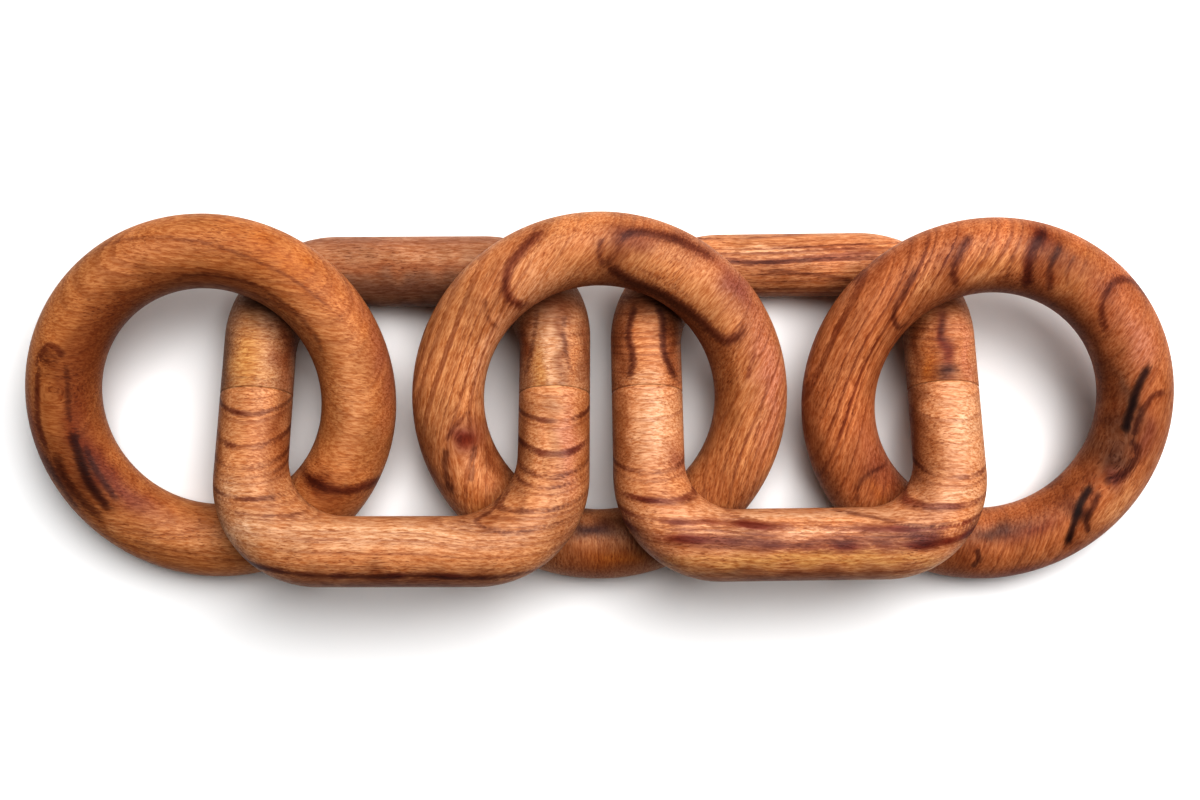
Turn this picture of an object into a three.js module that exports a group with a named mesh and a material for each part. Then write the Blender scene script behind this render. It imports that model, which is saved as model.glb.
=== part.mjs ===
// A decorative chain of five wooden links lying on a table: three round rings, joined by two squares
// with round corners.
//
// Every link is cut from a board and rounded over by hand. Its section is an oval, as high as the
// board is thick and as wide as the link is from its outer edge to the edge of its hole. The rings are
// each one piece. A square is closed round its two rings by gluing two U-shaped halves end to end,
// with a butt joint across each leg, so each half is a piece of its own.
//
// The links lean on each other in turn. A ring stands on its front edge and its back lies on the
// squares, and a square stands on its back bar and its front lies on the rings.
//
// Lengths are in millimetres and angles in degrees. X runs along the chain from left to right, Y from
// its front to its back, and Z up from the table. The origin is on the table, under the middle.

import * as THREE from "three";

const BOARD_THICKNESS = 20;
const GLUE_LINE = 0.3; // the space between the two halves of a square
const RING_STATIONS = 64; // sections round a ring
const CORNER_STEPS = 9; // sections round each corner of a square
const SECTION_SIDES = 16;

// outer and hole are radii. holeShift is how far the hole is off the ring's centre, as cut by hand.
// lean turns a link about X, with a plus where the back is the higher edge, and roll turns it about Y,
// with a plus where the left side is the higher one.
const RINGS = [
  { name: "ring_left", x: -125.7, y: -0.5, outer: 60.0, hole: 36.0, holeShift: [0, 0.3], lean: 14.4, roll: -0.8 },
  { name: "ring_middle", x: 0.5, y: -0.6, outer: 60.7, hole: 37.4, holeShift: [-0.2, -0.1], lean: 14.7, roll: 1.3 },
  { name: "ring_right", x: 125.8, y: -1.5, outer: 59.8, hole: 36.0, holeShift: [-0.2, 0], lean: 14.8, roll: -0.9 },
];

// width and depth are the whole square's. The hole's edges are measured from its middle. joint is how
// far behind the middle the two halves meet. corner and holeCorner are the radii of the corners.
const SQUARES = [
  {
    name: "square_left",
    x: -62.8,
    y: -2.8,
    width: 120,
    depth: 118,
    holeLeft: 36.7,
    holeRight: 37.0,
    joint: 3.7,
    back: { hole: 35.2, corner: 35.3, holeCorner: 17.0 },
    front: { hole: 36.7, corner: 35.3, holeCorner: 20.2 },
    lean: -15.7,
    roll: -0.9,
    turn: -0.1,
  },
  {
    name: "square_right",
    x: 64.0,
    y: -1.5,
    width: 119.3,
    depth: 116.4,
    holeLeft: 36.7,
    holeRight: 36.7,
    joint: 3.7,
    back: { hole: 37.2, corner: 36.5, holeCorner: 17.2 },
    front: { hole: 35.3, corner: 33.9, holeCorner: 15.8 },
    lean: -14.5,
    roll: 0,
    turn: 0.8,
  },
];

const RING_WOOD = new THREE.MeshStandardMaterial({ color: 0xb0683a, roughness: 0.45, metalness: 0 });
const BACK_HALF_WOOD = new THREE.MeshStandardMaterial({ color: 0xa8683c, roughness: 0.5, metalness: 0 });
const FRONT_HALF_WOOD = new THREE.MeshStandardMaterial({ color: 0xcf8d5c, roughness: 0.42, metalness: 0 });

// A station is a pair of points in the link's own plane, on its outer edge and on the edge of its
// hole. The oval section stands between the two.
function ovalSection({ outer, inner }) {
  const middle = outer.clone().add(inner).multiplyScalar(0.5);
  const half = outer.clone().sub(inner).multiplyScalar(0.5);
  const points = [];
  for (let side = 0; side < SECTION_SIDES; side++) {
    const angle = (2 * Math.PI * side) / SECTION_SIDES;
    const across = Math.cos(angle);
    points.push(middle.x + half.x * across, middle.y + half.y * across, (BOARD_THICKNESS / 2) * Math.sin(angle));
  }
  return points;
}

// The skin through all the sections. The stations run anticlockwise round the link, seen from above.
// A closed skin joins its last section to its first, and an open one has a flat face at each end.
function skin(stations, closed) {
  const positions = stations.flatMap(ovalSection);
  const faces = [];
  const corner = (station, side) => (station % stations.length) * SECTION_SIDES + (side % SECTION_SIDES);
  const spans = closed ? stations.length : stations.length - 1;
  for (let station = 0; station < spans; station++) {
    for (let side = 0; side < SECTION_SIDES; side++) {
      const [a, b] = [corner(station, side), corner(station + 1, side)];
      const [c, d] = [corner(station + 1, side + 1), corner(station, side + 1)];
      faces.push(a, b, c, a, c, d);
    }
  }
  if (!closed) {
    const last = stations.length - 1;
    for (let side = 1; side < SECTION_SIDES - 1; side++) {
      faces.push(corner(0, 0), corner(0, side), corner(0, side + 1));
      faces.push(corner(last, 0), corner(last, side + 1), corner(last, side));
    }
  }
  const geometry = new THREE.BufferGeometry();
  geometry.setAttribute("position", new THREE.Float32BufferAttribute(positions, 3));
  geometry.setIndex(faces);
  const flatFaced = geometry.toNonIndexed();
  flatFaced.computeVertexNormals();
  return flatFaced;
}

function ringGeometry({ outer, hole, holeShift }) {
  const stations = [];
  for (let station = 0; station < RING_STATIONS; station++) {
    const angle = (2 * Math.PI * station) / RING_STATIONS;
    const direction = new THREE.Vector2(Math.cos(angle), Math.sin(angle));
    stations.push({
      outer: direction.clone().multiplyScalar(outer),
      inner: direction.clone().multiplyScalar(hole).add(new THREE.Vector2(...holeShift)),
    });
  }
  return skin(stations, true);
}

// One edge of a half with its bar behind the middle: up the right leg from the joint, round the
// right corner, along the bar, round the left corner and down the left leg.
function halfEdge(right, left, bar, radius, joint) {
  const points = [new THREE.Vector2(right, joint)];
  const addCorner = (x, startAngle) => {
    for (let step = 0; step <= CORNER_STEPS; step++) {
      const angle = startAngle + ((Math.PI / 2) * step) / CORNER_STEPS;
      points.push(new THREE.Vector2(x + radius * Math.cos(angle), bar - radius + radius * Math.sin(angle)));
    }
  };
  addCorner(right - radius, 0);
  addCorner(left + radius, Math.PI / 2);
  points.push(new THREE.Vector2(left, joint));
  return points;
}

// A half with its bar behind the middle. The front half is built the same way, turned half round in
// its own plane, so its left and right change places.
function halfGeometry(square, half, isFront) {
  const side = square.width / 2;
  const joint = (isFront ? -square.joint : square.joint) + GLUE_LINE / 2;
  const [holeRight, holeLeft] = isFront
    ? [square.holeLeft, square.holeRight]
    : [square.holeRight, square.holeLeft];
  const outerEdge = halfEdge(side, -side, square.depth / 2, half.corner, joint);
  const innerEdge = halfEdge(holeRight, -holeLeft, half.hole, half.holeCorner, joint);
  const stations = outerEdge.map((outer, index) => ({ outer, inner: innerEdge[index] }));
  const geometry = skin(stations, false);
  return isFront ? geometry.rotateZ(Math.PI) : geometry;
}

function mesh(name, geometry, material) {
  const made = new THREE.Mesh(geometry, material);
  made.name = name;
  return made;
}

// Sets a link down: leaning as it does, with its lowest point on the table.
function lay(link, { x, y, lean, roll, turn = 0 }) {
  link.rotation.set(...[lean, roll, turn].map(THREE.MathUtils.degToRad), "XYZ");
  link.position.set(x, y, 0);
  link.updateMatrixWorld(true);
  link.position.z = -new THREE.Box3().setFromObject(link, true).min.z;
  return link;
}

const chain = new THREE.Group();
for (const ring of RINGS) {
  const link = new THREE.Group();
  link.add(mesh(ring.name, ringGeometry(ring), RING_WOOD));
  chain.add(lay(link, ring));
}
for (const square of SQUARES) {
  const link = new THREE.Group();
  link.add(mesh(`${square.name}_back_half`, halfGeometry(square, square.back, false), BACK_HALF_WOOD));
  link.add(mesh(`${square.name}_front_half`, halfGeometry(square, square.front, true), FRONT_HALF_WOOD));
  chain.add(lay(link, square));
}

// Puts the middle of the whole chain over the origin.
chain.updateMatrixWorld(true);
const middle = new THREE.Box3().setFromObject(chain, true).getCenter(new THREE.Vector3());
chain.position.set(-middle.x, -middle.y, 0);

export default chain;
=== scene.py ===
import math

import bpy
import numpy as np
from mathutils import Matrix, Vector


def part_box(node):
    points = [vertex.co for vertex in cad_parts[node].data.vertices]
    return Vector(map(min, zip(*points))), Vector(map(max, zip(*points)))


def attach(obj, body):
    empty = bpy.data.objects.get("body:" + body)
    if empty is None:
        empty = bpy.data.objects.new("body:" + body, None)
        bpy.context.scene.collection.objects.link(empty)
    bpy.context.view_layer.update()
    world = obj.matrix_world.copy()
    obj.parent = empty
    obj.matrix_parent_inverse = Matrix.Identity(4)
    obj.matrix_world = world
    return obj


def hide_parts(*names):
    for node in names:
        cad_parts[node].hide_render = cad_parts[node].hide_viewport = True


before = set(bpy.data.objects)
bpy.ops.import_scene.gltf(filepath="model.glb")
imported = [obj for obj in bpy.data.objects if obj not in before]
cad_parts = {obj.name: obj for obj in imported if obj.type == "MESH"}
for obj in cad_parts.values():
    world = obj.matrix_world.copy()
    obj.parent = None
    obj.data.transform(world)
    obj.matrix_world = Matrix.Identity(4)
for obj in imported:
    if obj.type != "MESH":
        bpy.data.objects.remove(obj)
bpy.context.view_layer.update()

# A few dark spots among the patches are painted shadow, where one link lies across another.
# The looks of a chain of five wooden links: three rings and two squares, each square glued up from two
# halves. Every link is one smooth mesh in place of its CAD node. The wood is a solid pattern that runs
# through each piece: growth layers, fibres and pores follow its own grain, and the marks that the photo
# shows, such as knots and dark streaks, are placed in the link's own plane.
#
# Lengths are in millimetres in each link's own frame, unless a name ends in _m.

MM = 0.001

BOARD_THICKNESS = 20
RING_STATIONS = 560
LEG_STATIONS = 40
CORNER_STATIONS = 40
BAR_STATIONS = 60
SECTION_SIDES = 160
GLUE_GAP = 0.04
END_ROUNDING = 0.15

# outer and hole are radii, and shift is how far the hole is off the centre. lean, roll and turn are
# the angles at which a link lies, about X, Y and Z.
RINGS = {
    "ring_left": dict(outer=60.0, hole=36.0, shift=(0, 0.3), lean=14.4, roll=-0.8),
    "ring_middle": dict(outer=60.7, hole=37.4, shift=(-0.2, -0.1), lean=14.7, roll=1.3),
    "ring_right": dict(outer=59.8, hole=36.0, shift=(-0.2, 0), lean=14.8, roll=-0.9),
}
SQUARES = {
    "square_left": dict(
        width=120, depth=118, hole_left=36.7, hole_right=37.0, joint=3.7,
        back=dict(hole=35.2, corner=35.3, hole_corner=17.0),
        front=dict(hole=36.7, corner=35.3, hole_corner=20.2),
        lean=-15.7, roll=-0.9, turn=-0.1,
    ),
    "square_right": dict(
        width=119.3, depth=116.4, hole_left=36.7, hole_right=36.7, joint=3.7,
        back=dict(hole=37.2, corner=36.5, hole_corner=17.2),
        front=dict(hole=35.3, corner=33.9, hole_corner=15.8),
        lean=-14.5, roll=0, turn=0.8,
    ),
}


def ring_edges(ring):
    """The ring's outer edge and its hole's edge, as matching rows of points."""
    angle = np.linspace(0, 2 * np.pi, RING_STATIONS, endpoint=False)
    direction = np.stack([np.cos(angle), np.sin(angle)], 1)
    return direction * ring["outer"], direction * ring["hole"] + np.array(ring["shift"])


def half_edge(right, left, bar, radius, joint):
    """One edge of a half whose bar is behind the middle: up its right leg, along its bar and down its
    left leg."""
    up = np.linspace(joint, bar - radius, LEG_STATIONS, endpoint=False)
    quarter = np.linspace(0, np.pi / 2, CORNER_STATIONS, endpoint=False)
    along = np.linspace(right - radius, left + radius, BAR_STATIONS, endpoint=False)
    down = np.linspace(bar - radius, joint, LEG_STATIONS + 1)
    return np.concatenate([
        np.stack([np.full_like(up, right), up], 1),
        np.stack([right - radius + radius * np.cos(quarter), bar - radius + radius * np.sin(quarter)], 1),
        np.stack([along, np.full_like(along, bar)], 1),
        np.stack([left + radius - radius * np.sin(quarter), bar - radius + radius * np.cos(quarter)], 1),
        np.stack([np.full_like(down, left), down], 1),
    ])


def half_edges(square, which):
    """A half's outer edge and its hole's edge. The front half is a back half turned half round."""
    half, side = square[which], square["width"] / 2
    if which == "back":
        right, left, joint, turn = square["hole_right"], -square["hole_left"], square["joint"], 1
    else:
        right, left, joint, turn = square["hole_left"], -square["hole_right"], -square["joint"], -1
    joint += GLUE_GAP / 2
    outer = half_edge(side, -side, square["depth"] / 2, half["corner"], joint)
    inner = half_edge(right, left, half["hole"], half["hole_corner"], joint)
    return turn * outer, turn * inner


def skin(outer, inner, closed):
    """Points and four-sided faces of the oval tube between two edges. An open tube has rounded ends."""
    middle, half = (outer + inner) / 2, (outer - inner) / 2
    size = np.ones(len(middle))
    if not closed:
        run = np.concatenate([[0], np.cumsum(np.linalg.norm(np.diff(middle, axis=0), axis=1))])
        from_end = np.minimum(run, run[-1] - run)
        into = np.clip(END_ROUNDING - from_end, 0, None)
        reach = np.linalg.norm(half, axis=1)
        size = 1 - (END_ROUNDING - np.sqrt(END_ROUNDING**2 - into**2)) / reach
    angle = np.linspace(0, 2 * np.pi, SECTION_SIDES, endpoint=False)
    across = (half * size[:, None])[:, None, :] * np.cos(angle)[None, :, None]
    up = BOARD_THICKNESS / 2 * size[:, None] * np.sin(angle)[None, :]
    points = np.concatenate([middle[:, None, :] + across, up[:, :, None]], 2)
    count = len(middle)
    rows = np.arange(count if closed else count - 1)
    a = rows[:, None] * SECTION_SIDES + np.arange(SECTION_SIDES)[None, :]
    b = (rows[:, None] + 1) % count * SECTION_SIDES + np.arange(SECTION_SIDES)[None, :]
    faces = np.stack([a, b, np.roll(b, -1, 1), np.roll(a, -1, 1)], 2).reshape(-1, 4)
    return points.reshape(-1, 3), faces


def turned(lean, roll, turn=0):
    """The rotation that lays a link down: turned, then rolled, then leaned."""
    about = [Matrix.Rotation(math.radians(a), 3, axis) for a, axis in ((lean, "X"), (roll, "Y"), (turn, "Z"))]
    return np.array(about[0] @ about[1] @ about[2])


def place(parts, nodes, angles):
    """Moves a link's points to where its CAD nodes lie, resting on the table."""
    rotation = turned(*angles)
    laid = [points @ rotation.T for points in parts]
    every = np.concatenate(laid)
    corners = [np.array(corner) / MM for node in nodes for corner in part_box(node)]
    middle = (np.min(corners, 0) + np.max(corners, 0)) / 2
    shift = middle - (every.min(0) + every.max(0)) / 2
    shift[2] = -every[:, 2].min()
    return [(points + shift) * MM for points in laid]


def mesh_piece(name, points_m, faces, caps):
    mesh = bpy.data.meshes.new(name)
    polygons = [list(face) for face in caps]
    loops = np.concatenate([faces.ravel(), *map(np.array, polygons)]).astype(np.int32)
    sizes = np.array([4] * len(faces) + [len(p) for p in polygons])
    starts = np.concatenate([[0], np.cumsum(sizes)[:-1]]).astype(np.int32)
    mesh.vertices.add(len(points_m))
    mesh.vertices.foreach_set("co", points_m.astype(np.float32).ravel())
    mesh.loops.add(len(loops))
    mesh.loops.foreach_set("vertex_index", loops)
    mesh.polygons.add(len(starts))
    mesh.polygons.foreach_set("loop_start", starts)
    mesh.polygons.foreach_set("use_smooth", sizes == 4)
    mesh.update()
    mesh.validate()
    piece = bpy.data.objects.new(name, mesh)
    bpy.context.scene.collection.objects.link(piece)
    return piece


def add_attribute(piece, name, values):
    kind = "FLOAT" if values.ndim == 1 else "FLOAT_VECTOR"
    attribute = piece.data.attributes.new(name, kind, "POINT")
    key = "value" if values.ndim == 1 else "vector"
    attribute.data.foreach_set(key, values.astype(np.float32).ravel())


def build_link(angles, parts):
    """parts is [(node, outer edge, inner edge, closed)] of one link."""
    skins = [skin(outer, inner, closed) for _, outer, inner, closed in parts]
    laid = place([points for points, _ in skins], [part[0] for part in parts], angles)
    made = []
    for (node, outer, _, closed), (points, faces), points_m in zip(parts, skins, laid):
        caps = []
        if not closed:
            last = (len(outer) - 1) * SECTION_SIDES
            caps = [range(SECTION_SIDES), range(last + SECTION_SIDES - 1, last - 1, -1)]
        piece = mesh_piece(node + "_wood", points_m, faces, caps)
        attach(piece, "root")
        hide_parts(node)
        made.append((piece, points))
    return made


# The colours of the wood, as linear light, from pale to dark. A few dark spots made from them are painted
# shadow, where one link lies across another.
CREAM = (0.634, 0.312, 0.156)
PEACH = (0.562, 0.324, 0.184)
PALE = (0.551, 0.259, 0.113)
GOLD = (0.497, 0.248, 0.086)
TAN = (0.484, 0.209, 0.083)
PINK = (0.464, 0.189, 0.108)
SAND = (0.374, 0.187, 0.094)
AMBER = (0.41, 0.163, 0.053)
HONEY = (0.378, 0.116, 0.014)
BROWN = (0.29, 0.095, 0.026)
ROSE = (0.29, 0.095, 0.05)
CHESTNUT = (0.19, 0.05, 0.013)
PLUM = (0.18, 0.045, 0.034)
OLIVE = (0.145, 0.06, 0.032)
RED = (0.17, 0.022, 0.003)
UMBER = (0.065, 0.014, 0.006)


SHADE_INK = np.array([0.65, 0.85, 0.90])


def patch(colour, along, across, long, short, amount=0.8, tilt=0):
    """A soft spot of another colour. On a ring, along is an angle in degrees and across a distance from
    its centre. On a square they are x and y."""
    return dict(colour=colour, at=(along, across), reach=(long, short), amount=amount, tilt=tilt)


def stroke(points, width=0.8, depth=0.6, tone=0.3, shade=0, reach=4):
    """A dark line in the wood. tone goes from red-brown at 0 to charcoal at 1. shade darkens the wood on
    the left of the line's way for a reach of some millimetres, or on its right if it is negative."""
    return dict(points=points, width=width, depth=depth, tone=tone, shade=shade, reach=reach)


def layer(at, width=0.6, depth=0.6, tone=0.3, shade=0.2, reach=2.5):
    """A dark growth layer, at a place in the run of layers. shade darkens the wood in front of it."""
    return dict(at=at, width=width, depth=depth, tone=tone, shade=-shade, reach=reach)


# grain is the angle of the fibres, curve bends them, and rise is how fast the growth layers climb through
# the board's thickness. stripes are spots of stronger layering, placed as patches are. Knots bend the
# fibres round themselves.
WOODS = {
    "ring_left": dict(
        colour=AMBER, grain=-7, curve=0, rise=1.6, spacing=2.6, layering=0.25, seed=3,
        stripes=[(95, 47, 34, 8, 0.2), (262, 50, 20, 8, 0.35)],
        knots=[(-48, 4, 4)], layers=[],
        patches=[
            patch(PALE, 2, 48, 24, 5, 0.95), patch(TAN, 36, 47, 14, 3, 0.9),
            patch(TAN, 108, 51, 22, 5, 0.9),
            patch(PALE, 262, 45, 16, 4.5, 0.9), patch(PALE, 232, 50, 5, 3, 0.5),
            patch(BROWN, 78, 41, 26, 3, 0.8), patch(CHESTNUT, 145, 39.5, 38, 5.5, 0.95),
            patch(HONEY, 58, 54, 17, 3.4, 0.9), patch(HONEY, 250, 57, 26, 3.2, 0.8),
            patch(ROSE, 14, 59, 24, 3, 0.7), patch(CHESTNUT, 168, 45, 26, 3, 0.5),
            patch(RED, 200, 42, 17, 4, 0.8), patch(UMBER, 211, 46, 10, 4.5, 0.75),
            patch(CHESTNUT, 208, 53, 15, 5, 0.95), patch(UMBER, 202, 56, 9, 2.5, 0.6),
            patch(RED, 190, 57, 16, 2.6, 0.7), patch(RED, 226, 41, 15, 3.4, 0.8),
            patch(BROWN, 176, 50, 14, 3, 0.5), patch(CHESTNUT, 163, 50, 3, 4, 0.8),
            patch(CHESTNUT, 324, 43, 3.4, 9, 0.9), patch(BROWN, 321, 53, 6, 5, 0.7),
        ],
        strokes=[
            stroke([(-36, 47), (-28, 51), (-18, 53), (-5, 53), (10, 50), (28, 42), (40, 33), (48, 25)],
                   0.6, 0.5, 0.2, -0.2),
            stroke([(-14, 38), (2, 42), (17, 39), (28, 32), (37, 22), (39, 10)], 0.8, 0.5, 0.4, -0.25),
            stroke([(-52.5, 11), (-51, 16), (-48, 19), (-45, 18), (-43, 14)], 1.1, 0.8, 0.3),
            stroke([(-51, 13), (-48, 16), (-44.5, 13)], 1.4, 0.6, 0.3),
            stroke([(-51.5, 15), (-53, 5), (-53.5, -6), (-51, -18)], 1.0, 0.8, 0.3),
            stroke([(-43, 15), (-43, 6), (-43.5, -2), (-42.5, -9)], 0.8, 0.6, 0.4, 0.2),
            stroke([(-43, -6), (-41.5, -15), (-38, -26), (-31, -37)], 1.3, 0.9, 0.6, 0.3),
            stroke([(-40, -12), (-36, -22), (-29, -33)], 0.8, 0.8, 0.4),
            stroke([(-49, -14), (-46, -24), (-40, -33), (-33, -39)], 1.6, 0.7, 0.6),
            stroke([(-53, -14), (-49, -26), (-42, -37)], 1.2, 0.6, 0.5),
            stroke([(29, -22), (36, -26), (46, -28), (57, -25)], 1.6, 0.85, 0.3, -0.4, 5),
            stroke([(-31, -44), (-12, -48), (12, -53)], 0.6, 0.4, 0.3),
        ],
    ),
    "ring_middle": dict(
        colour=TAN, grain=73, curve=0.004, rise=0.3, spacing=1.3, layering=0.22, seed=11,
        stripes=[(160, 49, 36, 10, 0.6), (335, 49, 26, 10, 0.5), (20, 56, 20, 4, 0.3)],
        knots=[(-44, -12, 4)], layers=[],
        patches=[
            patch(CREAM, 117, 44, 9, 7, 0.8), patch(CREAM, 150, 39, 18, 4, 0.95),
            patch(BROWN, 52, 39, 32, 3, 0.8), patch(CHESTNUT, 84, 48, 3.6, 8, 0.85),
            patch(RED, 79, 54.5, 9, 2.8, 0.7), patch(CHESTNUT, 66, 56, 11, 2.6, 0.7),
            patch(ROSE, 44, 58, 20, 3, 0.8), patch(PLUM, 40, 56, 6, 4, 0.8),
            patch(PINK, 8, 55, 24, 5, 0.9), patch(PALE, 57, 47, 16, 3, 0.5),
            # The brown spot at 322 degrees is painted shadow beside the right square's leg.
            patch(BROWN, 6, 42, 24, 3, 0.8), patch(BROWN, 322, 47, 12, 12, 0.7),
            patch(CHESTNUT, 318, 57, 14, 4, 0.6), patch(HONEY, 222, 52, 7, 4, 0.5),
            patch(CHESTNUT, 207, 39, 13, 3.4, 0.9), patch(CHESTNUT, 205, 58, 16, 3.4, 0.7),
            patch(CREAM, 203, 46.5, 5, 3, 0.5), patch(PLUM, 193.5, 45, 5, 5, 0.9),
            patch(RED, 195, 45, 3, 3.2, 0.9),
            patch(CHESTNUT, 270, 54, 26, 9, 0.85), patch(HONEY, 276, 51, 9, 2.4, 0.6),
            # The umber spot at 266 degrees, on the inner edge of the bottom, is painted shadow of the squares
            # that lie over the bottom of this ring.
            patch(UMBER, 266, 41, 12, 3, 1.0), patch(BROWN, 220, 46, 6, 5, 0.6),
        ],
        strokes=[
            stroke([(-15, 57), (-22, 52), (-28, 45), (-29.5, 38), (-27, 33), (-20, 32)],
                   1.4, 0.8, 0.2, -0.5, 5),
            stroke([(-36, 36), (-35.5, 29), (-32, 24)], 0.8, 0.5, 0.3, -0.25, 3),
            stroke([(4, 49), (6, 53), (13, 55), (25, 52), (38, 45)], 1.2, 0.75, 0.2, 0.5, 5),
            stroke([(4, 51), (3, 45), (9, 40), (18, 36), (28, 30), (36, 23), (40, 21), (44, 24), (46, 31)],
                   1.6, 0.8, 0.4, -0.5, 5),
            stroke([(1, 54), (-0.5, 49), (1, 44)], 1.0, 0.6, 0.2, -0.4, 4),
            stroke([(8, 45), (20, 40), (30, 33)], 0.8, 0.4, 0.3),
            stroke([(-49, -12), (-50, -20), (-48, -30)], 1.0, 0.7, 0.6, 0.35, 3),
            stroke([(-50, -12), (-46, -6), (-41, -1)], 0.8, 0.6, 0.2),
            stroke([(-40, -12), (-41, -18), (-42, -26)], 0.9, 0.6, 0.5),
            stroke([(49, 18), (46, 8)], 0.8, 0.6, 0),
            stroke([(54, 12), (51, -2), (49, -14)], 0.6, 0.5, 0.2),
        ],
    ),
    "ring_right": dict(
        colour=(0.41, 0.15, 0.055), grain=67, curve=0.0015, rise=0.2, spacing=1.35, layering=0.25, seed=23,
        stripes=[(158, 49, 42, 11, 0.8), (112, 50, 14, 8, 0.4), (285, 50, 16, 9, 0.3)],
        knots=[(38, -15, 7)], layers=[],
        patches=[
            patch(TAN, 92, 46, 8, 5, 0.95), patch(PALE, 120, 46, 5, 3.6, 0.7),
            patch(PALE, 100, 42, 5, 3, 0.6),
            patch(TAN, 62, 45, 4, 4.4, 0.9), patch(PINK, 28, 49, 11, 5, 0.8),
            patch(ROSE, 50, 52, 5.5, 6, 0.7), patch(CHESTNUT, 72, 53, 5, 6, 0.9),
            patch(RED, 78, 56, 4, 3, 0.8), patch(BROWN, 62, 54, 8, 3.4, 0.7),
            patch(CHESTNUT, 50, 38, 48, 3, 0.85),
            patch(CHESTNUT, 2, 39, 12, 3.4, 0.7), patch(OLIVE, 6, 43.5, 9, 3, 0.8, -20),
            patch(OLIVE, 338, 42.5, 7, 7.5, 1.0), patch(OLIVE, 352, 42, 7, 4, 0.9),
            patch(PALE, 323, 53, 10, 4, 0.95), patch(PLUM, 331, 47.5, 4, 3, 0.8),
            patch(PLUM, 350, 50, 8, 3, 0.6),
            patch(UMBER, 311, 44, 3, 6, 0.9), patch(CHESTNUT, 303, 53, 4, 4, 0.8),
            patch(CHESTNUT, 312, 39, 14, 3, 0.8), patch(UMBER, 277, 41.5, 10, 3, 0.9),
            patch(RED, 292, 44, 9, 2.6, 0.7), patch(CHESTNUT, 262, 51, 7, 10, 0.8),
            patch(RED, 280, 58, 18, 3, 0.85), patch(RED, 305, 58.5, 14, 2.6, 0.6),
            patch(CHESTNUT, 216, 41, 9, 6, 0.95), patch(HONEY, 219, 44, 4, 2.6, 0.5),
            patch(ROSE, 205, 40, 14, 4, 0.6), patch(CHESTNUT, 200, 57, 20, 3, 0.6),
            patch(BROWN, 0, 58, 26, 3, 0.7), patch(RED, 130, 58, 16, 2, 0.4),
        ],
        strokes=[
            stroke([(-9, 56), (-13, 50), (-15, 44), (-13, 38)], 1.2, 0.75, 0.3, -0.5, 5),
            stroke([(-26, 46), (-30, 38), (-33, 31), (-31, 26), (-27, 28)], 0.9, 0.7, 0.4, -0.35, 3),
            stroke([(15, 58), (10, 53), (8, 48), (8, 42), (9, 37)], 1.6, 0.9, 0.3, 0.6, 6),
            stroke([(19, 53), (15, 47), (15, 41), (16, 36)], 1.0, 0.7, 0.4, 0.35, 3),
            stroke([(3, 50), (1.5, 41)], 0.7, 0.5, 0.3, 0.2, 2),
            stroke([(23, 50), (20, 44), (21, 38)], 0.7, 0.4, 0.3, 0.3, 3),
            stroke([(52, 32), (43, 40), (36, 41), (32, 36), (32, 30), (35, 21)], 1.1, 0.7, 0.3, 0.45, 5),
            stroke([(49, 16), (45.5, 9), (43.5, 0), (42, -10)], 1.1, 1.0, 1, 0.35, 4),
            stroke([(57, 5), (51, 5), (47, 0), (45, -9), (45, -15)], 1.0, 0.7, 0.4, 0.3, 3),
            stroke([(45, -9), (46, -16), (42, -22), (35, -24)], 1.4, 0.75, 0.5, -0.3, 3),
            stroke([(34, -24), (30, -31), (28, -38), (26, -47)], 1.0, 1.0, 1, 0.3, 3),
            stroke([(36, -26), (34, -32), (32, -37), (34, -43)], 0.9, 0.8, 0.6, -0.2, 2),
            stroke([(-31, -19), (-39, -22), (-42, -26), (-42, -33)], 0.9, 0.6, 0.4, -0.3, 3),
            stroke([(-3, -46), (-2, -50), (-4, -54)], 0.9, 0.8, 0.7),
        ],
    ),
    "square_left_back_half": dict(
        colour=SAND, grain=0, curve=0, rise=0.5, spacing=1.4, layering=0.22, seed=31,
        stripes=[], knots=[], layers=[],
        patches=[
            patch(ROSE, 0, 55, 60, 6, 0.4), patch(BROWN, 0, 44, 50, 2.6, 0.9),
            patch(OLIVE, 0, 38, 48, 5, 1.0), patch(GOLD, -50, 13, 6, 13, 1.0),
            # The chestnut spot down the inner side of the left leg and the umber spot at its top are painted
            # shadow of the left ring, which lies over the leg there.
            patch(CHESTNUT, -38.5, 18, 3, 18, 0.9), patch(UMBER, -46, 32, 10, 4, 0.8),
            patch(OLIVE, -58, 14, 2.4, 18, 0.7), patch(GOLD, 44, 8, 3.4, 10, 0.8),
            patch(PEACH, 47.5, 13, 2, 13, 1.0), patch(TAN, 55, 13, 2.4, 12, 0.7),
            patch(CHESTNUT, 51.5, 19, 1.2, 12, 0.6), patch(CHESTNUT, 39, 20, 2.4, 12, 0.95),
            patch(CHESTNUT, 48, 32, 14, 4, 0.8), patch(CHESTNUT, 59.5, 18, 2.4, 16, 0.7),
        ],
        strokes=[
            stroke([(-59, 6), (-50, 7), (-44, 6), (-38, 8)], 0.5, 0.4, 0.4),
            stroke([(43, 32), (42, 20), (39, 6)], 0.8, 0.6, 0.4),
            stroke([(52, 30), (52, 18), (55, 6)], 0.8, 0.5, 0.4),
        ],
    ),
    "square_left_front_half": dict(
        colour=(0.49, 0.23, 0.10), grain=-2, curve=0, rise=0.9, spacing=1.5, layering=0.35, seed=41,
        stripes=[(0, -44, 45, 6, 0.2)], knots=[],
        layers=[
            layer(2, 0.9, 0.85, 0.4), layer(-8.5, 1.0, 0.85, 0.3), layer(-15.5, 0.8, 0.6, 0.3),
            layer(-19, 0.6, 0.6, 0.2), layer(-26.5, 0.8, 0.8, 0.4), layer(-32, 0.7, 0.55, 0.3),
            layer(-51.5, 1.4, 0.9, 0.4),
        ],
        patches=[
            patch(CHESTNUT, -38.5, -10, 2.6, 22, 0.8), patch(BROWN, -41, -14, 5, 9, 0.7, 20),
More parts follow.
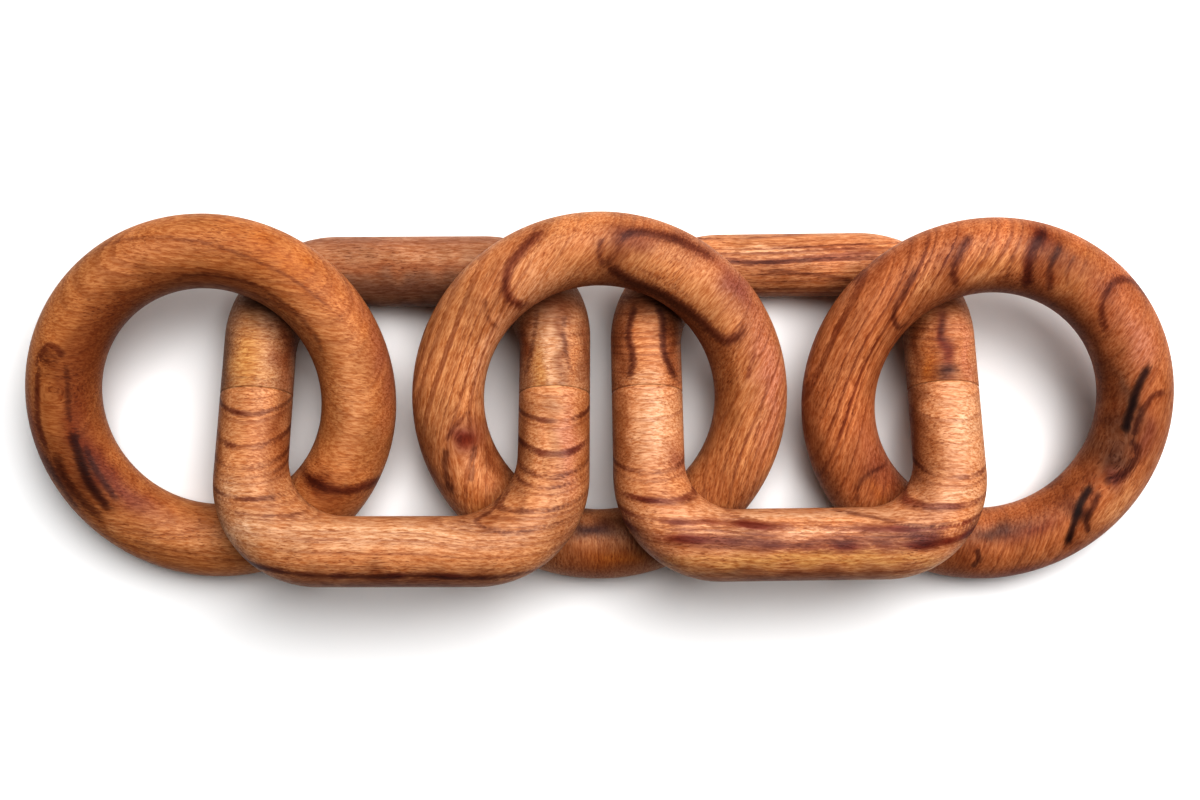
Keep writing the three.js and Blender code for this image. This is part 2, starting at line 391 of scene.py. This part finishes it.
            patch(TAN, -46, -14, 5, 12, 0.6),
            patch(BROWN, -58.5, -14, 2.6, 22, 0.8), patch(PEACH, -50, -30, 6, 3.4, 0.7),
            patch(PEACH, -46, -42, 10, 4, 0.9),
            patch(PEACH, 0, -44, 38, 4.8, 0.9), patch(TAN, 0, -52, 50, 2.2, 0.9),
            patch(CHESTNUT, 0, -59, 50, 3.6, 0.95), patch(RED, -49, -53, 10, 3.4, 0.8, -35),
            patch(CHESTNUT, 39, -14, 2, 24, 0.6), patch(CREAM, 45, -14, 2.4, 20, 0.6),
            patch(PINK, 54, -16, 3, 18, 0.7), patch(BROWN, 59, -12, 2, 22, 0.8),
            patch(SAND, 47, -3, 5, 3.4, 0.8), patch(BROWN, 53, -45, 9, 4, 0.7, 40),
            patch(BROWN, 30, -39, 8, 3, 0.6),
        ],
        strokes=[
            stroke([(36, -24), (34, -31), (30, -36), (25, -40), (30, -43), (38, -44), (48, -41)],
                   0.8, 0.6, 0.3, -0.3, 3),
        ],
    ),
    "square_right_back_half": dict(
        colour=(0.46, 0.20, 0.085), grain=1, curve=0, rise=0.5, spacing=1.2, layering=0.4, seed=53,
        stripes=[(0, 46, 50, 10, 0.5)], knots=[], layers=[],
        patches=[
            patch(PEACH, -8, 49, 16, 1.6, 0.7), patch(BROWN, 0, 36, 50, 2.4, 0.7),
            patch(TAN, -49, 12, 4, 14, 0.9), patch(CHESTNUT, -40, 20, 3, 16, 0.85),
            patch(CHESTNUT, -57, 18, 2.4, 16, 0.8), patch(CHESTNUT, -48, 32, 9, 4.4, 0.8),
            patch(PEACH, -48, 6, 4, 3, 0.7), patch(RED, 47.5, 17, 3, 15, 1.0),
            patch(UMBER, 47, 6.5, 5, 2.4, 0.95), patch(UMBER, 48, 21, 1.6, 5, 0.6),
            patch(CHESTNUT, 39, 18, 2.6, 13, 0.95),
            patch(BROWN, 44, 16, 1.6, 14, 0.7), patch(HONEY, 42.5, 8, 1.6, 6, 0.6),
            patch(PINK, 55, 12, 2.6, 14, 0.6),
            patch(CHESTNUT, 52, 30, 10, 4, 0.6),
        ],
        strokes=[
            stroke([(-28, 47.5), (-14, 45), (-2, 45.5), (14, 47), (34, 48)], 0.9, 0.7, 0.1, -0.35, 2),
            stroke([(-10, 50.5), (10, 50), (30, 51)], 0.7, 0.6, 0.1, 0.2, 2),
            stroke([(-16, 41), (-4, 42), (9, 41), (24, 39)], 0.7, 0.6, 0.3, -0.25, 2),
            stroke([(-51, 33), (-54, 22), (-53, 15), (-53, 10), (-55, 4)], 1.1, 0.8, 0.5, -0.4, 3),
            stroke([(-46, 33), (-43, 26), (-43, 16), (-41, 10), (-38, 4)], 1.1, 0.8, 0.5, 0.4, 3),
        ],
    ),
    "square_right_front_half": dict(
        colour=(0.52, 0.24, 0.11), grain=-1.5, curve=0, rise=0.9, spacing=1.5, layering=0.35, seed=61,
        stripes=[(0, -46, 45, 5, 0.3)], knots=[],
        layers=[
            layer(-18.5, 0.9, 0.8, 0.3), layer(-22, 0.4, 0.45, 0.3, 0.1), layer(-27.8, 0.9, 0.95, 0.2),
            layer(-34.4, 0.9, 0.95, 0.1, 0.3, 1.5), layer(-36.8, 0.5, 0.6, 0.1, 0.1, 1),
            layer(-40, 1.4, 1, 0, 0.4, 2),
        ],
        patches=[
            patch(PEACH, -46, -8, 6, 13, 0.9), patch(BROWN, -57, -12, 2.6, 20, 0.8),
            patch(ROSE, -39.5, -20, 3, 5, 0.7),
            patch(TAN, -46, -29, 12, 5, 0.7), patch(CHESTNUT, -55, -44, 8, 4, 0.8, -45),
            patch(RED, -46, -52, 8, 3, 0.6, -30),
            patch(CHESTNUT, 38, -10, 2.6, 22, 0.9), patch(BROWN, 42, -18, 3, 7, 0.6),
            patch(PEACH, 52, -10, 5, 15, 1.0),
            patch(PEACH, 48, -33, 8, 1.6, 0.8), patch(PEACH, 0, -38.5, 34, 2, 0.9),
            patch(PEACH, -4, -44.5, 34, 1.4, 0.7),
            patch(RED, 4, -48.5, 48, 1.8, 0.7), patch(GOLD, 0, -53.5, 48, 2.4, 0.95),
            patch(CHESTNUT, 0, -59, 50, 2.8, 0.9), patch(OLIVE, -26, -56, 9, 1.4, 0.6),
            patch(PLUM, 36, -47, 5, 2, 0.9), patch(BROWN, 52, -45, 6, 3.4, 0.7, 40),
        ],
        strokes=[
            stroke([(5, -36), (17, -39), (28, -42), (38, -44), (48, -42)], 0.7, 0.6, 0.4, 0.15, 2),
        ],
    ),
}


def waves(points, length, seed):
    """A smooth random field over the points, mostly between -1 and 1, with waves of about this length."""
    random = np.random.default_rng(seed)
    total = np.zeros(len(points))
    for _ in range(7):
        way = random.normal(size=3)
        way *= 2 * np.pi / (length * random.uniform(0.7, 1.6) * np.linalg.norm(way))
        total += np.sin(points @ way + random.uniform(0, 2 * np.pi))
    return total / 3


def soft_spot(along, across, long, short, tilt=0):
    """1 in the middle of an oval spot, falling away smoothly to 0."""
    turn = math.radians(tilt)
    far = along * math.cos(turn) + across * math.sin(turn)
    wide = across * math.cos(turn) - along * math.sin(turn)
    return np.exp(-((far / long) ** 2 + (wide / short) ** 2))


def from_spot(x, y, at, round_link):
    """How far each point is from a spot, along and across the link."""
    if not round_link:
        return x - at[0], y - at[1]
    turn = np.degrees(np.arctan2(y, x)) - at[0]
    return np.radians((turn + 180) % 360 - 180) * at[1], np.hypot(x, y) - at[1]


def smooth_line(points, steps=10):
    """A curve through a few points."""
    points = np.array([points[0], *points, points[-1]], float)
    rows = []
    for a, b, c, d in zip(points, points[1:], points[2:], points[3:]):
        for t in np.arange(steps) / steps:
            bend, twist = 2 * a - 5 * b + 4 * c - d, 3 * b - a - 3 * c + d
            rows.append(0.5 * (2 * b + (c - a) * t + bend * t**2 + twist * t**3))
    return np.array([*rows, points[-2]])


def beside_line(x, y, line):
    """How far each point is from the line, with a plus on its left, and how far along the line it is, from
    0 to 1."""
    start, step = line[:-1], np.diff(line, axis=0)
    length = np.linalg.norm(step, axis=1)
    run = np.concatenate([[0], np.cumsum(length)])
    off_x, off_y = x[:, None] - start[:, 0], y[:, None] - start[:, 1]
    share = np.clip((off_x * step[:, 0] + off_y * step[:, 1]) / length**2, 0, 1)
    gap = np.hypot(off_x - share * step[:, 0], off_y - share * step[:, 1])
    nearest = gap.argmin(1)
    row = np.arange(len(x))
    left = step[nearest, 0] * off_y[row, nearest] - step[nearest, 1] * off_x[row, nearest]
    along = (run[nearest] + share[row, nearest] * length[nearest]) / run[-1]
    return gap[row, nearest] * np.where(left >= 0, 1, -1), along


def add_mark(mark, chosen, beside, strength, colour, marks):
    """Adds a dark line to some points: its shade to their colour, and itself to marks, where the line that
    is nearest for its width counts. beside is how far the points are from it, and can be negative."""
    side = beside * np.sign(mark["shade"] or 1)
    shade = abs(mark["shade"]) * strength * np.exp(-np.abs(side) / np.where(side > 0, mark["reach"], 0.5))
    colour[chosen] *= 1 - np.clip(shade, 0, 1)[:, None] * SHADE_INK
    scaled = np.abs(beside) / mark["width"]
    nearer = scaled < marks[chosen, 0]
    marks[chosen[nearer], 0] = scaled[nearer]
    marks[chosen[nearer], 1] = (mark["depth"] * strength)[nearer]
    marks[chosen[nearer], 2] = mark["tone"]


def wood_fields(wood, points, round_link):
    """The attributes of a piece's wood at its points: the grain's own coordinates, the layering, the dark
    marks and the broad colour."""
    x, y, z = points.T
    seed = wood["seed"]
    turn = math.radians(wood["grain"])
    bend = 0.6 * waves(points * (1, 1, 0.4), 45, seed)
    along = x * math.cos(turn) + y * math.sin(turn)
    across = y * math.cos(turn) - x * math.sin(turn) + bend + wood["curve"] * along**2
    for knot_x, knot_y, radius in wood["knots"]:
        knot_along = knot_x * math.cos(turn) + knot_y * math.sin(turn)
        off = across - (knot_y * math.cos(turn) - knot_x * math.sin(turn) + wood["curve"] * knot_along**2)
        far = ((along - knot_along) * 0.6) ** 2 + off**2
        across = across - off * radius**2 / (far + 0.6 * radius**2)
    depth = z + 0.6 * waves(points, 30, seed + 1)
    grain = np.stack([along, across, depth], 1)

    run = across + wood["rise"] * depth + 0.4 * waves(points, 40, seed + 2)
    growth = run / wood["spacing"]
    layering = np.full(len(x), wood["layering"])
    for at_along, at_across, long, short, amount in wood["stripes"]:
        layering += amount * soft_spot(*from_spot(x, y, (at_along, at_across), round_link), long, short)
    layering *= 1 + 0.3 * waves(points, 14, seed + 3)
    layers = np.stack([growth, np.clip(layering, 0, 1), 0.5 + 0.3 * waves(points, 20, seed + 4)], 1)

    colour = np.tile(np.array(wood["colour"], float), (len(x), 1))
    colour *= (1 + 0.08 * waves(points, 24, seed + 5) + 0.05 * waves(points, 7, seed + 9))[:, None]
    ragged_x = x + 1.2 * waves(points, 9, seed + 6)
    ragged_y = y + 1.2 * waves(points, 9, seed + 7)
    for spot in wood["patches"]:
        off = from_spot(ragged_x, ragged_y, spot["at"], round_link)
        share = spot["amount"] * soft_spot(*off, *spot["reach"], spot["tilt"])
        colour += share[:, None] * (np.array(spot["colour"]) - colour)

    marks = np.tile([9.0, 0, 0], (len(x), 1))
    every = np.arange(len(x))
    for mark in wood["layers"]:
        worn = 0.8 + 0.3 * waves(points, 11, seed + 8)
        add_mark(mark, every, run - mark["at"], worn, colour, marks)
    for mark in wood["strokes"]:
        line = smooth_line(mark["points"])
        low, high = line.min(0) - 14, line.max(0) + 14
        near = np.flatnonzero((x > low[0]) & (x < high[0]) & (y > low[1]) & (y < high[1]))
        beside, share = beside_line(x[near], y[near], line)
        add_mark(mark, near, beside, np.clip(np.minimum(share, 1 - share) * 7, 0, 1), colour, marks)
    return dict(grain=grain, layers=layers, marks=marks, colour=colour)


class Shader:
    """A material's nodes, with a short way to add one: its inputs are numbers, colours or other outputs."""

    def __init__(self, name):
        self.material = bpy.data.materials.new(name)
        self.material.use_nodes = True
        self.tree = self.material.node_tree
        self.surface = self.tree.nodes["Principled BSDF"]

    def node(self, kind, inputs, output=0, **settings):
        made = self.tree.nodes.new(kind)
        for key, value in settings.items():
            setattr(made, key, value)
        for key, value in inputs.items():
            self.put(made.inputs[key], value)
        return made.outputs[output]

    def put(self, socket, value):
        if isinstance(value, bpy.types.NodeSocket):
            self.tree.links.new(value, socket)
        else:
            socket.default_value = value

    def attribute(self, name):
        return self.node("ShaderNodeAttribute", {}, "Vector", attribute_name=name)

    def parts(self, vector):
        split = self.tree.nodes.new("ShaderNodeSeparateXYZ")
        self.tree.links.new(vector, split.inputs[0])
        return split.outputs

    def math(self, operation, a, b=0.0):
        return self.node("ShaderNodeMath", {0: a, 1: b}, operation=operation)

    def ramp(self, value, low, high, to_low=0.0, to_high=1.0):
        inputs = {"Value": value, "From Min": low, "From Max": high, "To Min": to_low, "To Max": to_high}
        return self.node("ShaderNodeMapRange", inputs, interpolation_type="SMOOTHSTEP")

    def noise(self, vector, scale, detail, rough=0.5):
        stretched = self.node("ShaderNodeVectorMath", {0: vector, 1: scale}, operation="MULTIPLY")
        inputs = {"Vector": stretched, "Scale": 1.0, "Detail": detail, "Roughness": rough}
        return self.node("ShaderNodeTexNoise", inputs)

    def noise_along(self, value, scale, detail, rough=0.5):
        inputs = {"W": value, "Scale": scale, "Detail": detail, "Roughness": rough}
        return self.node("ShaderNodeTexNoise", inputs, noise_dimensions="1D")

    def mix(self, share, a, b):
        return self.node("ShaderNodeMix", {"Factor": share, 6: a, 7: b}, 2, data_type="RGBA")

    def tint(self, share, colour, by):
        """The colour, multiplied by another one as far as share says."""
        inputs = {"Factor": share, 6: colour, 7: by}
        return self.node("ShaderNodeMix", inputs, 2, data_type="RGBA", blend_type="MULTIPLY")


def wood_material(name, roughness, gloss):
    shader = Shader(name)
    grain = shader.attribute("grain")
    growth, layering, open_pores = shader.parts(shader.attribute("layers"))
    beside, depth, tone = shader.parts(shader.attribute("marks"))

    fibres = shader.noise(grain, (0.28, 1.5, 1.5), 4, 0.65)
    pores = shader.ramp(shader.noise(grain, (0.50, 2.6, 2.6), 1), 0.56, 0.68)
    ragged = shader.math("SUBTRACT", fibres, 0.5)

    fibre_tint = shader.mix(shader.ramp(fibres, 0.3, 0.7), (0.78, 0.62, 0.46, 1), (1.20, 1.38, 1.60, 1))
    colour = shader.tint(1.0, shader.attribute("colour"), fibre_tint)

    height = shader.math("ADD", growth, shader.math("MULTIPLY", ragged, 1.1))
    band = shader.noise_along(height, 0.8, 3, 0.6)
    dark_band = shader.math("MULTIPLY", shader.ramp(band, 0.50, 0.36), layering)
    pale_band = shader.math("MULTIPLY", shader.ramp(band, 0.52, 0.68), layering)
    colour = shader.tint(dark_band, colour, (0.52, 0.36, 0.34, 1))
    colour = shader.tint(pale_band, colour, (1.22, 1.32, 1.40, 1))

    near = shader.math("MULTIPLY", shader.ramp(beside, 2.4, 0.2), depth)
    specks = shader.noise(grain, (0.35, 1.3, 1.3), 2, 0.6)
    dark = shader.ramp(shader.math("ADD", specks, shader.math("MULTIPLY", near, 0.55)), 0.54, 0.88)
    ink = shader.mix(tone, (0.40, 0.16, 0.14, 1), (0.14, 0.11, 0.16, 1))
    colour = shader.tint(shader.math("MULTIPLY", dark, near), colour, ink)

    pitted = shader.math("MULTIPLY", pores, open_pores)
    colour = shader.tint(pitted, colour, (0.58, 0.42, 0.34, 1))

    shader.put(shader.surface.inputs["Base Color"], colour)
    rough = shader.ramp(fibres, 0.3, 0.7, roughness + 0.07, roughness - 0.05)
    shader.put(shader.surface.inputs["Roughness"], rough)
    relief = shader.math("SUBTRACT", shader.math("MULTIPLY", fibres, 0.4), pitted)
    bump = shader.node("ShaderNodeBump", {"Strength": 0.5, "Distance": 0.00008, "Height": relief})
    shader.put(shader.surface.inputs["Normal"], bump)
    shader.surface.inputs["Specular IOR Level"].default_value = gloss
    return shader.material


MATERIALS = {
    "ring": wood_material("ring_wood", 0.46, 0.2),
    "back": wood_material("back_half_wood", 0.48, 0.2),
    "front": wood_material("front_half_wood", 0.44, 0.22),
}


def finish_piece(piece, points, node, kind):
    for name, values in wood_fields(WOODS[node], points, kind == "ring").items():
        add_attribute(piece, name, values)
    piece.data.materials.append(MATERIALS[kind])


for name, ring in RINGS.items():
    built = build_link((ring["lean"], ring["roll"]), [(name, *ring_edges(ring), True)])
    finish_piece(*built[0], name, "ring")
for name, square in SQUARES.items():
    nodes = [f"{name}_{which}_half" for which in ("back", "front")]
    parts = [(node, *half_edges(square, which), False) for node, which in zip(nodes, ("back", "front"))]
    built = build_link((square["lean"], square["roll"], square["turn"]), parts)
    for made, node, which in zip(built, nodes, ("back", "front")):
        finish_piece(*made, node, which)


def stage():
    """A pale floor that runs out of sight."""
    size_m = 6
    corners = [(x * size_m, y * size_m, 0) for x, y in ((-1, -1), (1, -1), (1, 1), (-1, 1))]
    mesh = bpy.data.meshes.new("floor")
    mesh.from_pydata(corners, [], [(0, 1, 2, 3)])
    floor = bpy.data.objects.new("floor", mesh)
    bpy.context.scene.collection.objects.link(floor)
    material = bpy.data.materials.new("floor_paper")
    material.use_nodes = True
    shader = material.node_tree.nodes["Principled BSDF"]
    shader.inputs["Base Color"].default_value = (0.82, 0.82, 0.82, 1)
    shader.inputs["Roughness"].default_value = 0.9
    shader.inputs["Specular IOR Level"].default_value = 0.1
    mesh.materials.append(material)


def area_light(name, place_m, target_m, size_m, watts):
    light = bpy.data.lights.new(name, "AREA")
    light.shape = "RECTANGLE"
    light.size, light.size_y = size_m
    light.energy = watts
    lamp = bpy.data.objects.new(name, light)
    lamp.location = place_m
    lamp.rotation_euler = (Vector(target_m) - Vector(place_m)).to_track_quat("-Z", "Y").to_euler()
    bpy.context.scene.collection.objects.link(lamp)


def lights():
    area_light("softbox", (0.4, 0.52, 1.35), (0, 0, 0), (1.4, 1.4), 50)
    world = bpy.data.worlds.new("studio")
    world.use_nodes = True
    sky = world.node_tree.nodes["Background"]
    sky.inputs["Color"].default_value = (1, 1, 1, 1)
    sky.inputs["Strength"].default_value = 0.07
    bpy.context.scene.world = world


# The camera looks down on the chain from above, a little towards its front.
CAMERA_TILT = 2.04
CAMERA_DISTANCE = 495.7
CAMERA_AIM = (0.52, 0.83, 0)
LENS = 43.76


def camera():
    data = bpy.data.cameras.new("camera")
    data.lens = LENS
    data.sensor_width = 36
    data.sensor_fit = "HORIZONTAL"
    data.clip_start, data.clip_end = 0.01, 50
    made = bpy.data.objects.new("camera", data)
    tilt = math.radians(CAMERA_TILT)
    back = Vector((0, -math.sin(tilt), math.cos(tilt))) * CAMERA_DISTANCE
    made.location = (Vector(CAMERA_AIM) + back) * MM
    made.rotation_euler = (tilt, 0, 0)
    bpy.context.scene.collection.objects.link(made)
    bpy.context.scene.camera = made


stage()
lights()
camera()
bpy.context.scene.view_settings.view_transform = "Standard"
bpy.context.scene.view_settings.gamma = 0.74
